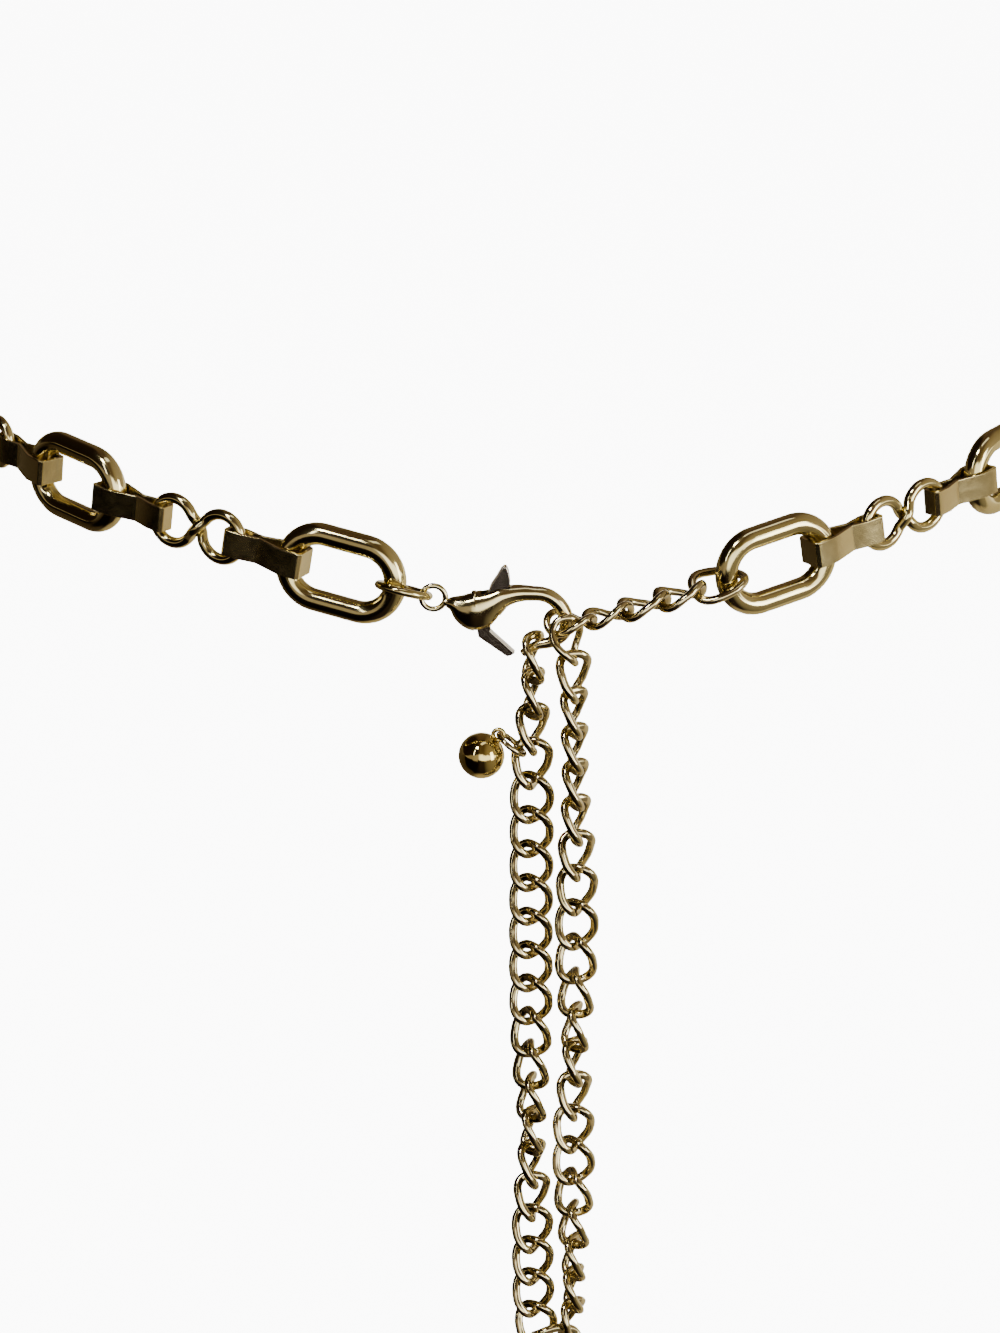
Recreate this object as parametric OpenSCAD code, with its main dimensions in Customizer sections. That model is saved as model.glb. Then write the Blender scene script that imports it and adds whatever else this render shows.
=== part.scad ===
// Waist chain: a loop of oval and figure-eight links joined by folded bands, closed by a
// hook clasp with a spring lever, with a curb chain whose spare length hangs as a long loop.

/* [Waist loop] */
// Pairs of one oval link and one eight link round the loop
pairs = 20; // [14:1:22]
// Width of the worn loop for each millimetre of its depth
loop_ratio = 0.693; // [0.6:0.001:0.8]
// Rise of the loop from the clasp to the small of the back
far_rise = 72; // [40:1:90]
// Extra sag of the loop at the clasp, where the tail pulls it down
clasp_sag = 7.5; // [3:0.5:10]
// Reach of that sag to each side of the clasp
sag_reach = 65; // [50:1:90]
// Sideways distance of the clasp hook from the near end of the loop
hook_offset = 6.5; // [4:0.5:9]

/* [Oval link] */
// Length over the outside
oval_len = 16.2; // [15:0.1:18]
// Height over the outside
oval_h = 10.9; // [10:0.1:12]
// Diameter of its round wire
oval_wire = 2.7; // [2.3:0.1:2.9]

/* [Eight link] */
// Length over the outside
eight_len = 13.75; // [13:0.05:15]
// Height over the outside
eight_h = 6.9; // [6.4:0.1:7.2]
// Diameter of its round wire
eight_wire = 1.35; // [1.1:0.05:1.5]

/* [Band] */
// Length over the outside of the folded strip
band_len = 10.7; // [10:0.1:12]
// Height of the strip
band_h = 3.2; // [2.4:0.1:3.6]
// Thickness of the sheet
band_sheet = 0.45; // [0.35:0.05:0.5]
// Gap between the two layers where the strip is pinched
band_gap = 0.5; // [0.3:0.05:0.8]
// Chamfer at the folded ends
band_corner = 0.4; // [0.2:0.05:0.5]
// Clearance between the strip and the wires inside it
band_play = 0.15; // [0.1:0.01:0.2]

/* [Jump ring] */
// Diameter over the outside
jump_d = 7; // [6.8:0.1:7.6]
// Diameter of its wire
jump_wire = 0.95; // [0.8:0.05:1]
// Roll of the ring about the chain
jump_roll = -14; // [-20:1:20]

/* [Clasp] */
// Distance from the middle of the eye to the seat in the hook
hook_to_eye = 15.9; // [14.5:0.1:17]
// Greatest height of the body, in the plane of the hook
clasp_h = 5; // [4.6:0.1:5.4]
// Greatest thickness of the body
clasp_t = 3.3; // [3:0.1:3.6]
// Diameter over the eye
eye_d = 3.4; // [3.2:0.1:3.8]
// Diameter of the eye's wire
eye_wire = 0.55; // [0.45:0.05:0.6]
// Thickness of the lever
lever_t = 1.3; // [1:0.05:1.4]
// Clearance on each side of the lever
lever_clear = 0.15; // [0.1:0.01:0.2]
// Diameter of the lever's pin
pin_d = 0.9; // [0.7:0.05:1]
// Radial clearance of the lever on its pin
pin_clear = 0.05; // [0.02:0.01:0.08]
// Depth that the pin is pressed into each cheek
pin_seat = 0.4; // [0.2:0.05:0.5]

/* [Extension chain] */
// Length over the outside of a curb link
curb_len = 6.5; // [6.3:0.1:6.8]
// Width over the outside of a curb link
curb_w = 5.3; // [5.1:0.1:5.5]
// Diameter of its wire
curb_wire = 0.9; // [0.75:0.05:0.95]
// Turn of each end of a curb link out of its middle plane
curb_turn = 45; // [40:1:50]
// Clearance between links that hang in each other
curb_clear = 0.2; // [0.15:0.01:0.3]
// Links from the clasp hook to the last oval link, with the one in the hook
spare_links = 5; // [4:1:6]
// Links down the strand that hangs from the hook
down_links = 20; // [12:1:24]

/* [End ball] */
// Diameter of the ball
ball_d = 5.5; // [5:0.1:6]
// Diameter over the ring that carries the ball
ball_ring_d = 4.3; // [4.2:0.1:4.6]
// Diameter over the ball's own eye
ball_eye_d = 1.8; // [1.7:0.1:2]
// Diameter of the wire of the ring and of the ball's eye
ball_wire = 0.5; // [0.4:0.05:0.55]

/* [Hidden] */
gold = "darkkhaki";
steel = "lightgray";

// Facets of round shapes, and the plainer ones of meshed wire
round_fn = 48;
wire_fn = 32;
body_sides = 12;
curb_segments = 12;
curb_sides = 6;

// Fit of the rigid links: centre lines, and how far a folded end reaches past the wire
oval_half = (oval_len - oval_wire) / 2;
oval_bend = (oval_h - oval_wire) / 2;
eight_half = (eight_len - eight_wire) / 2;
eight_bend = (eight_h - eight_wire) / 2;
function folded_reach(bend, wire) =
    bend + band_play - sqrt(pow(bend - wire / 2, 2) - pow(band_h / 2, 2));
oval_reach = folded_reach(oval_bend, oval_wire);
eight_reach = folded_reach(eight_bend, eight_wire);
band_span = band_len - 2 * band_sheet - oval_reach - eight_reach;
half_pitch = oval_half + band_span + eight_half;

// Runs along the loop from the seat in the clasp hook, positive to the right
link_gap = 0.1;
curb_pitch = curb_len - 2 * curb_wire - curb_clear;
jump_bend = (jump_d - jump_wire) / 2;
eye_bend = (eye_d - eye_wire) / 2;
jump_to_oval = jump_bend - (jump_wire + oval_wire) / 2 - link_gap;
eye_to_jump = jump_bend - (jump_wire + eye_wire) / 2 - link_gap + eye_bend;
seat_to_link = 0.6;
hooked_play = 0.06;
end_link_len = curb_len + 0.7;
end_link_w = curb_w + 0.5;
end_link_turn = 20;
end_link_gap = 0.25;
link_to_oval = (end_link_len - 2 * curb_wire - oval_wire) / 2 - end_link_gap;
end_step = curb_pitch + (end_link_len - curb_len) / 2;
run_end_link = seat_to_link + hooked_play + (spare_links - 2) * curb_pitch + end_step;
run_oval = run_end_link + link_to_oval;
run_right = run_oval + oval_half;
run_left = hook_to_eye + eye_to_jump + jump_to_oval + oval_half;
loop_len = run_right + 2 * pairs * half_pitch + run_left;

// The loop as worn: an ellipse in plan that rises towards the back
loop_steps = 720;
function unit(v) = v / norm(v);
function summed(points) =
    [for (i = 0, run = 0; i < len(points);
        run = run + (i + 1 < len(points) ? norm(points[i + 1] - points[i]) : 0), i = i + 1) run];
function rise_at(run, total) =
    let (far = min(run, total - run))
    far_rise * pow(sin(180 * far / total), 2) + clasp_sag * (1 - pow(max(1 - far / sag_reach, 0), 2));
function loop_points(depth) =
    let (width = loop_ratio * depth,
        start = asin(2 * hook_offset / width),
        plan = [for (k = [0 : loop_steps])
            let (angle = start + 360 * k / loop_steps) [width / 2 * sin(angle), -depth / 2 * cos(angle)]],
        run = summed(plan))
    [for (k = [0 : loop_steps])
        [plan[k].x, plan[k].y, rise_at(run[k], run[loop_steps]) - (far_rise + clasp_sag) / 2]];
function fit_depth(depth, tries) =
    tries == 0 ? depth : fit_depth(depth * loop_len / summed(loop_points(depth))[loop_steps], tries - 1);
loop_route = loop_points(fit_depth(loop_len / 2.74, 5));
loop_runs = summed(loop_route);
loop_table = [for (axis = [0 : 2]) [for (k = [0 : loop_steps]) [loop_runs[k], loop_route[k][axis]]]];
function spot(run) = [for (axis = [0 : 2]) lookup(run < 0 ? run + loop_len : run, loop_table[axis])];
hook_spot = spot(0);

// Links of the extension chain: x along the link, each end turned out of the middle plane
function curb_path(length, width, end_turn) =
    [for (k = [0 : curb_segments - 1])
        let (t = 360 * k / curb_segments, r = (width - curb_wire) / 2 * sin(t), turn = -end_turn * cos(t))
        [(length - curb_wire) / 2 * cos(t), r * cos(turn), r * sin(turn)]];

// Hanging tail, from the seat in the clasp hook: x right, y back, z up. The first link hangs
// beside the hook, and the last one on the hook's arm
hang_middle = [0.34, -1.44, -1.33];
hang_ahead = unit([0.261, 0.014, -0.965]);
hang_joint = hang_middle + hang_ahead * curb_pitch / 2;
arm_middle = [-3.8, 0, -3.9];
arm_joint = arm_middle - [0, 0, curb_pitch / 2];

// Turn at the bottom, in curb pitches: the last two upright links lean in to one lying link
bottom_bend = [-1, -0.6, hang_joint.z - (down_links - 1) * curb_pitch];
right_bend = bottom_bend + [0.556, 0.111, 0] * curb_pitch;
left_bend = bottom_bend + [-0.556, -0.111, 0] * curb_pitch;
right_foot = right_bend + unit([-0.198, -0.001, -0.98]) * curb_pitch;
left_foot = left_bend + unit([0.174, 0.033, -0.984]) * curb_pitch;
bottom_middle = bottom_bend + [0.076, -0.044, -1.058] * curb_pitch;
bottom_ahead = unit([-0.97, 0.075, 0.232]);
bottom_turn = -13;

// Chosen points of the two strands: depth below the seat, x and y
down_route = [[8, 1, -1.5], [32, 1.57, -1.2], [62, 1.35, -1.2]];
up_route = [[14, -3.85, 0], [38, -3.97, 0], [60, -3.9, 0]];

// Turn of the links about their strand, at shares of its length
down_turns = [
    [0, 127], [0.05, 126], [0.1, 106], [0.2, 104], [0.25, 112], [0.4, 178],
    [0.58, 270], [0.73, 357], [0.88, 440], [1, 461]
];
up_turns = [[0, 548], [0.15, 560], [0.29, 630], [0.52, 720], [0.8, 720], [0.95, 805], [1, 810]];
hooked_turn = 95;
spare_turn = 80;
spare_turn_step = 3;
end_link_roll = 28;

function on_strand(z, upper, lower, route) =
    let (rows = concat([[-upper.z, upper.x, upper.y]],
        [for (row = route) if (row[0] > -upper.z && row[0] < -lower.z) row],
        [[-lower.z, lower.x, lower.y]]))
    [lookup(-z, [for (row = rows) [row[0], row[1]]]), lookup(-z, [for (row = rows) [row[0], row[2]]]), z];
function strand_joints(from, to, upper, lower, count, route) =
    [for (k = [0 : count]) on_strand(from.z + (to.z - from.z) * k / count, upper, lower, route)];
up_links = ceil((arm_joint.z - left_bend.z) / curb_pitch);
down_joints = concat(
    strand_joints(hang_joint, right_bend, hang_joint, right_bend, down_links - 1, down_route),
    [right_foot]);
up_joints = concat(
    [left_foot],
    strand_joints(left_bend, arm_joint, arm_joint, left_bend, up_links, up_route));

// Clasp sections: middle along and up as percent of its length, height and thickness as
// percent of the body's greatest ones
clasp_sections = [
    [8.2, -0.9, 16, 21],
    [11.3, -1.4, 23, 36],
    [15.9, -1.5, 40, 61],
    [22.3, -2.8, 72, 85],
    [28.5, -3.4, 92, 97],
    [34.3, -2.5, 100, 100],
    [39.4, 1.9, 88, 97],
    [44.3, 7, 69, 91],
    [49.3, 11.8, 57, 82],
    [56.1, 15.3, 46, 70],
    [63.1, 17.8, 40, 61],
    [70.4, 19.2, 36, 54],
    [77.7, 20.3, 35, 53],
    [84.8, 19.2, 35, 53],
    [91.8, 15.2, 35, 53],
    [96.9, 9.6, 35, 53],
    [99.9, 3.1, 34, 52],
    [100.1, -4.1, 32, 49],
    [96.9, -10.4, 30, 46],
    [91.1, -14.9, 27, 43],
    [84.3, -18.1, 24, 39],
    [77.8, -22.8, 21, 35],
    [73.3, -27.8, 18, 30]
];

// Lever outline, its pin and the slot that it swings in, as percent of the clasp's length
lever_pivot = [39.1, 3.5];
lever_outline = [
    [39.2, 19.4], [41.6, 25.6], [43.8, 32.5], [45.4, 35.2], [47.5, 35.7], [49.9, 32.3],
    [51.8, 27.2], [53.2, 22.7], [47.4, 10.1], [46.1, 2.6], [45, -5.6], [46.4, -14.8],
    [68, -27.6], [66, -33], [38.7, -21.4], [35.2, -12.6], [32.4, -0.5], [33.7, 7], [36.8, 13.3]
];
lever_reach = 42.5;
slot_outline = [
    [30.5, 28.3], [30.5, -1.9], [33.6, -13.2], [36.5, -28], [60, -28],
    [55.7, -10.7], [50, -0.6], [47.8, 3.8], [48.7, 10.1], [57.2, 28.3]
];
slot_t = lever_t + 2 * lever_clear;
function clasp_size(share) = share * hook_to_eye / 100;

// Ball beside the left strand: its ring goes round a link near the top, its eye round the ring
ball_link = 2;
ball_play = 0.08;
ball_seat = 0.12;
ring_bend = (ball_ring_d - ball_wire) / 2;
ball_eye_bend = (ball_eye_d - ball_wire) / 2;
ring_axis = unit([0.622, 0.045, 0.782]);
ring_out = unit([-0.781, 0.098, 0.617]);
ring_middle = up_joints[up_links + 1 - ball_link] + [-0.468 * curb_w, 0, 0.2];
ball_eye_middle = ring_middle + ring_out * ring_bend - ring_axis * (ball_eye_bend - ball_wire - ball_play);
ball_middle = ball_eye_middle - ring_axis * (ball_d / 2 + ball_eye_bend - ball_seat);

function two(number) = str(number < 10 ? "0" : "", number);

// Puts a piece between two runs of the loop: x ahead, y inward and z up
module along(from, to) {
    ahead = unit(spot(to) - spot(from));
    side = unit(cross([0, 0, 1], ahead));
    up = cross(ahead, side);
    mid = (spot(from) + spot(to)) / 2;
    multmatrix([
        [ahead.x, side.x, up.x, mid.x],
        [ahead.y, side.y, up.y, mid.y],
        [ahead.z, side.z, up.z, mid.z]
    ]) children();
}

module wire_ring(bend, wire, angle = 360) {
    rotate_extrude(angle = angle, $fn = round_fn) translate([bend, 0]) circle(d = wire, $fn = wire_fn);
}

module oval_link(number) {
    middle = run_right + 2 * (number - 1) * half_pitch;
    straight = oval_half - oval_bend;
    color(gold) along(middle - oval_half, middle + oval_half) {
        for (turn = [0, 180]) rotate([0, 0, turn]) translate([straight, 0, 0]) rotate([90, 0, 0]) {
            rotate([0, 0, -90]) wire_ring(oval_bend, oval_wire, 180);
        }
        for (side = [-1, 1]) translate([-straight, 0, side * oval_bend]) rotate([0, 90, 0]) {
            cylinder(h = 2 * straight, d = oval_wire, $fn = wire_fn);
        }
    }
}

// One bent wire: two round loops, and two strands that cross in front of each other
module eight_link(number) {
    middle = run_right + (2 * number - 1) * half_pitch;
    reach = eight_half - eight_bend;
    lean = asin(eight_bend / reach);
    joint = [reach - eight_bend * sin(lean), 0, eight_bend * cos(lean)];
    layer = [0, -0.46 * eight_wire, 0];
    color(gold) along(middle - eight_half, middle + eight_half) {
        for (turn = [0, 180]) rotate([0, 0, turn]) {
            translate([reach, 0, 0]) rotate([90, 0, 0]) rotate([0, 0, -90 - lean]) {
                wire_ring(eight_bend, eight_wire, 180 + 2 * lean);
            }
            rod(-joint, layer, eight_wire);
            rod(layer, joint, eight_wire);
        }
    }
}

// Round rod between two points, with a ball at each end that is a little wider than the wire
module rod(from, to, wire) {
    span = to - from;
    translate(from) rotate([0, acos(span.z / norm(span)), atan2(span.y, span.x)]) {
        cylinder(h = norm(span), d = wire, $fn = wire_fn);
    }
    for (end = [from, to]) translate(end) sphere(d = 1.03 * wire, $fn = wire_fn);
}

// Half outline of a band: x along, y half depth, from the oval link's end to the eight link's
function band_half(skin) =
    let (oval_y = oval_wire / 2 + band_play + skin,
        eight_y = eight_wire / 2 + band_play + skin,
        oval_x = -band_span / 2 - oval_reach - skin,
        eight_x = band_span / 2 + eight_reach + skin,
        corner = band_corner * (skin > 0 ? 1 : 0.6))
    [[oval_x, oval_y - corner], [oval_x + corner, oval_y], [-band_span / 2 + 0.1 * oval_wire, oval_y],
        [0.1 * band_span, band_gap / 2 + skin],
        [band_span / 2 - 0.1 * eight_wire, eight_y],
        [eight_x - corner, eight_y], [eight_x, eight_y - corner]];

module band_outline(skin) {
    half = band_half(skin);
    count = len(half);
    polygon(concat(half, [for (k = [1 : count]) [half[count - k].x, -half[count - k].y]]));
}

module band(number) {
    back = number % 2 == 0 ? 1 : 0;
    from = run_right + (number - 1) * half_pitch + (back ? eight_half : oval_half);
    along(from, from + band_span) mirror([back, 0, 0]) linear_extrude(band_h, center = true) {
        difference() {
            band_outline(band_sheet);
            band_outline(0);
        }
    }
}

module bands_right() {
    color(gold) for (number = [1 : pairs]) band(number);
}

module bands_left() {
    color(gold) for (number = [pairs + 1 : 2 * pairs]) band(number);
}

module jump_ring() {
    from = -hook_to_eye - eye_to_jump - jump_to_oval;
    color(gold) along(from, from + 2 * jump_to_oval) rotate([jump_roll, 0, 0]) {
        wire_ring(jump_bend, jump_wire);
    }
}

// Clasp: x from the eye to the seat in the hook, z up
module clasp_place() {
    along(-hook_to_eye, 0) translate([-hook_to_eye / 2, 0, 0]) children();
}

module clasp_flat(thickness) {
    rotate([90, 0, 0]) linear_extrude(thickness, center = true) children();
}

module clasp_sweep() {
    rows = [for (row = clasp_sections)
        [clasp_size(row[0]), clasp_size(row[1]), row[2] * clasp_h / 200, row[3] * clasp_t / 200]];
    last = len(rows) - 1;
    points = [for (i = [0 : last], j = [0 : body_sides - 1])
        let (after = rows[min(i + 1, last)], before = rows[max(i - 1, 0)],
            ahead = unit([after[0] - before[0], after[1] - before[1]]),
            side = rows[i][3] * sin(360 * j / body_sides),
            lift = rows[i][2] * cos(360 * j / body_sides))
        [rows[i][0] - ahead.y * lift, side, rows[i][1] + ahead.x * lift]];
    walls = [for (i = [0 : last - 1], j = [0 : body_sides - 1])
        let (here = i * body_sides, next = here + body_sides, beside = (j + 1) % body_sides)
        [here + j, here + beside, next + beside, next + j]];
    ends = [[for (j = [0 : body_sides - 1]) body_sides - 1 - j],
        [for (j = [0 : body_sides - 1]) last * body_sides + j]];
    polyhedron(points, concat(walls, ends));
}

module lever_pin(diameter) {
    translate([clasp_size(lever_pivot.x), 0, clasp_size(lever_pivot.y)]) rotate([90, 0, 0]) {
        cylinder(h = slot_t + 2 * pin_seat, d = diameter, center = true, $fn = wire_fn);
    }
}

module clasp_body() {
    color(gold) clasp_place() difference() {
        union() {
            rotate([90, 0, 0]) wire_ring(eye_bend, eye_wire);
            clasp_sweep();
        }
        clasp_flat(slot_t) polygon([for (point = slot_outline) clasp_size(point)]);
        lever_pin(pin_d);
    }
}

module clasp_pin() {
    color(steel) clasp_place() lever_pin(pin_d);
}

module clasp_lever() {
    pivot = clasp_size(lever_pivot);
    color(steel) clasp_place() clasp_flat(lever_t) difference() {
        intersection() {
            polygon([for (point = lever_outline) clasp_size(point)]);
            translate(pivot) circle(r = clasp_size(lever_reach), $fn = 2 * round_fn);
        }
        translate(pivot) circle(d = pin_d + 2 * pin_clear, $fn = wire_fn);
    }
}

module closed_tube(path, wire, sides) {
    count = len(path);
    points = [for (i = [0 : count - 1], j = [0 : sides - 1])
        let (ahead = unit(path[(i + 1) % count] - path[(i + count - 1) % count]),
            out = unit(path[i] - (path[i] * ahead) * ahead))
        path[i] + wire / 2 * (cos(360 * j / sides) * out + sin(360 * j / sides) * cross(ahead, out))];
    faces = [for (i = [0 : count - 1], j = [0 : sides - 1])
        let (next = (i + 1) % count, beside = (j + 1) % sides)
        [i * sides + j, next * sides + j, next * sides + beside, i * sides + beside]];
    polyhedron(points, faces);
}

// Curb link with its middle half way between two joints; turn 90 has its width along the depth
module curb_link(from, to, turn, length = curb_len, width = curb_w, end_turn = curb_turn) {
    ahead = unit(to - from);
    flat = unit(cross([0, 1, 0], ahead));
    across = cos(turn) * flat + sin(turn) * cross(ahead, flat);
    normal = cross(ahead, across);
    mid = (from + to) / 2;
    multmatrix([
        [ahead.x, across.x, normal.x, mid.x],
        [ahead.y, across.y, normal.y, mid.y],
        [ahead.z, across.z, normal.z, mid.z]
    ]) closed_tube(curb_path(length, width, end_turn), curb_wire, curb_sides);
}

// From the last oval link to the hook, then down the strand that hangs beside it
module extension_right() {
    half = curb_pitch / 2;
    end_turn = spare_turn + spare_turn_step * (spare_links - 3) + end_link_roll;
    color(gold) {
        for (k = [1 : spare_links - 1]) {
            middle = seat_to_link + (k - 1) * curb_pitch + (k == 1 ? 0 : hooked_play);
            turn = k == 1 ? hooked_turn : spare_turn + spare_turn_step * (k - 2);
            curb_link(spot(middle - half), spot(middle + half), turn);
        }
        curb_link(spot(run_end_link - half), spot(run_end_link + half), end_turn,
            end_link_len, end_link_w, end_link_turn);
        translate(hook_spot) {
            curb_link(hang_middle - hang_ahead * half, hang_joint, down_turns[0][1]);
            for (k = [1 : down_links]) {
                curb_link(down_joints[k - 1], down_joints[k], lookup(k / down_links, down_turns));
            }
        }
    }
}

// The bottom link, and the strand that comes back up to the hook's arm
module extension_left() {
    half = curb_pitch / 2;
    count = up_links + 1;
    color(gold) translate(hook_spot) {
        curb_link(bottom_middle - bottom_ahead * half, bottom_middle + bottom_ahead * half, bottom_turn);
        for (k = [1 : count]) {
            curb_link(up_joints[k - 1], up_joints[k], lookup((k - 1) / count, up_turns));
        }
        curb_link(arm_joint, arm_middle + [0, 0, half], lookup(1, up_turns));
    }
}

// Ring about an axis
module ring_about(axis, bend, wire) {
    rotate([0, acos(axis.z), atan2(axis.y, axis.x)]) wire_ring(bend, wire);
}

module ball_ring() {
    color(gold) translate(hook_spot + ring_middle) ring_about(ring_axis, ring_bend, ball_wire);
}

module end_ball() {
    color(gold) translate(hook_spot) {
        translate(ball_middle) sphere(d = ball_d, $fn = round_fn);
        translate(ball_eye_middle) ring_about(cross(ring_axis, ring_out), ball_eye_bend, ball_wire);
    }
}

for (k = [1 : pairs + 1]) {
    oval_link(k);
}
for (k = [1 : pairs]) {
    eight_link(k);
}
bands_right();
bands_left();
jump_ring();
clasp_body();
clasp_pin();
clasp_lever();
extension_right();
extension_left();
ball_ring();
end_ball();
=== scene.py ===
"""Looks of the waist chain: smooth wire links, folded bands, clasp and curb chain over the CAD frame."""
import math

import bmesh
import bpy
import numpy as np
from mathutils import Matrix, Vector

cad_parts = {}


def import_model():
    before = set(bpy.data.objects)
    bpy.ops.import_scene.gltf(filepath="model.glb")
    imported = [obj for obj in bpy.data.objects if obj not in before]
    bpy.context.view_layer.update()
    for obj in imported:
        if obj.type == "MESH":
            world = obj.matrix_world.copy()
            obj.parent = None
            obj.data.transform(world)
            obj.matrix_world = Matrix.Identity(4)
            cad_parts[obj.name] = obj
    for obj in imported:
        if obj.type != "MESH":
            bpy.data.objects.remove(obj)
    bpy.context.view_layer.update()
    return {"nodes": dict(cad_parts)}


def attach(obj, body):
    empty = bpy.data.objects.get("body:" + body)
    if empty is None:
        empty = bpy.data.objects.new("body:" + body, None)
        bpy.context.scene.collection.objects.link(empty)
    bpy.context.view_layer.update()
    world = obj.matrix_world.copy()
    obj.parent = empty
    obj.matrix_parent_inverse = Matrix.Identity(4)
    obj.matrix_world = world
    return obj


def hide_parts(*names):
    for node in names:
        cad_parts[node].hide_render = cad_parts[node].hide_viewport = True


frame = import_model()
MM = 0.001

# Sizes in millimetres, as in the part's source
PAIRS, LOOP_RATIO, FAR_RISE, CLASP_SAG, SAG_REACH, HOOK_OFFSET = 20, 0.693, 72, 7.5, 65, 6.5
OVAL_LEN, OVAL_H, OVAL_WIRE = 16.2, 10.9, 2.7
EIGHT_LEN, EIGHT_H, EIGHT_WIRE = 13.75, 6.9, 1.35
BAND_LEN, BAND_H, BAND_SHEET, BAND_GAP, BAND_CORNER, BAND_PLAY = 10.7, 3.2, 0.45, 0.5, 0.4, 0.15
JUMP_D, JUMP_WIRE, JUMP_ROLL = 7, 0.95, -14
HOOK_TO_EYE, CLASP_H, CLASP_T, EYE_D, EYE_WIRE = 15.9, 5, 3.3, 3.4, 0.55
LEVER_T, LEVER_CLEAR, PIN_D, PIN_CLEAR, PIN_SEAT = 1.3, 0.15, 0.9, 0.05, 0.4
CURB_LEN, CURB_W, CURB_WIRE, CURB_TURN, CURB_CLEAR = 6.5, 5.3, 0.9, 45, 0.2
SPARE_LINKS, DOWN_LINKS = 5, 20
# The curb links as filed: the section, how square it is, how full the link's ends are and what it grows by
CURB_FILED, CURB_SQUARE, CURB_FULLNESS, CURB_GROWN = (1.06, 0.94), 0.82, 0.8, 0.1
EYE_THICKER, BALL_RING_THICKER, CLASP_SHRINK = 1.22, 1.3, 0.994
BAND_BEVEL, LEVER_BEVEL = 0.09, 0.12
WIDE_TURN, MERGE_DISTANCE, SLIVER_DISTANCE = 38, 2e-6, 1e-6
BALL_D, BALL_RING_D, BALL_EYE_D, BALL_WIRE = 5.5, 4.3, 1.8, 0.5

OVAL_HALF, OVAL_BEND = (OVAL_LEN - OVAL_WIRE) / 2, (OVAL_H - OVAL_WIRE) / 2
EIGHT_HALF, EIGHT_BEND = (EIGHT_LEN - EIGHT_WIRE) / 2, (EIGHT_H - EIGHT_WIRE) / 2


def folded_reach(bend, wire):
    return bend + BAND_PLAY - math.sqrt((bend - wire / 2) ** 2 - (BAND_H / 2) ** 2)


OVAL_REACH, EIGHT_REACH = folded_reach(OVAL_BEND, OVAL_WIRE), folded_reach(EIGHT_BEND, EIGHT_WIRE)
BAND_SPAN = BAND_LEN - 2 * BAND_SHEET - OVAL_REACH - EIGHT_REACH
HALF_PITCH = OVAL_HALF + BAND_SPAN + EIGHT_HALF
LINK_GAP, SEAT_TO_LINK, HOOKED_PLAY, END_LINK_GAP = 0.1, 0.6, 0.06, 0.25
PITCH = CURB_LEN - 2 * CURB_WIRE - CURB_CLEAR
JUMP_BEND, EYE_BEND = (JUMP_D - JUMP_WIRE) / 2, (EYE_D - EYE_WIRE) / 2
JUMP_TO_OVAL = JUMP_BEND - (JUMP_WIRE + OVAL_WIRE) / 2 - LINK_GAP
EYE_TO_JUMP = JUMP_BEND - (JUMP_WIRE + EYE_WIRE) / 2 - LINK_GAP + EYE_BEND
END_LEN, END_W, END_TURN = CURB_LEN + 0.7, CURB_W + 0.5, 20
RUN_END_LINK = SEAT_TO_LINK + HOOKED_PLAY + (SPARE_LINKS - 2) * PITCH + PITCH + (END_LEN - CURB_LEN) / 2
RUN_OVAL = RUN_END_LINK + (END_LEN - 2 * CURB_WIRE - OVAL_WIRE) / 2 - END_LINK_GAP
RUN_RIGHT = RUN_OVAL + OVAL_HALF
RUN_LEFT = HOOK_TO_EYE + EYE_TO_JUMP + JUMP_TO_OVAL + OVAL_HALF
LOOP_LEN = RUN_RIGHT + 2 * PAIRS * HALF_PITCH + RUN_LEFT


# The loop as worn: an ellipse in plan that rises towards the back
def loop_points(depth, steps=720):
    width = LOOP_RATIO * depth
    angle = math.asin(2 * HOOK_OFFSET / width) + np.radians(360 * np.arange(steps + 1) / steps)
    x, y = width / 2 * np.sin(angle), -depth / 2 * np.cos(angle)
    run = np.concatenate([[0], np.cumsum(np.hypot(np.diff(x), np.diff(y)))])
    far = np.minimum(run, run[-1] - run)
    rise = FAR_RISE * np.sin(np.pi * far / run[-1]) ** 2
    rise = rise + CLASP_SAG * (1 - np.maximum(1 - far / SAG_REACH, 0) ** 2)
    return np.stack([x, y, rise - (FAR_RISE + CLASP_SAG) / 2], 1)


def runs_of(points):
    return np.concatenate([[0], np.cumsum(np.linalg.norm(np.diff(points, axis=0), axis=1))])


def fitted_loop():
    depth = LOOP_LEN / 2.74
    for _ in range(5):
        depth *= LOOP_LEN / runs_of(loop_points(depth))[-1]
    return loop_points(depth)


ROUTE = fitted_loop()
RUNS = runs_of(ROUTE)


def spot(run):
    run = run + LOOP_LEN if run < 0 else run
    return np.array([np.interp(run, RUNS, ROUTE[:, axis]) for axis in range(3)])


def unit(v):
    v = np.asarray(v, float)
    return v / np.linalg.norm(v)


def frame_matrix(x, y, z, middle):
    """Matrix in metres of a frame given in millimetres."""
    m = Matrix.Identity(4)
    for row in range(3):
        m[row][0], m[row][1], m[row][2], m[row][3] = x[row], y[row], z[row], middle[row] * MM
    return m


def along(start, end):
    """Frame between two runs of the loop: x ahead, y inward and z up."""
    a, b = spot(start), spot(end)
    ahead = unit(b - a)
    side = unit(np.cross([0, 0, 1], ahead))
    return frame_matrix(ahead, side, np.cross(ahead, side), (a + b) / 2)


HOOK = spot(0)


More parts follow.
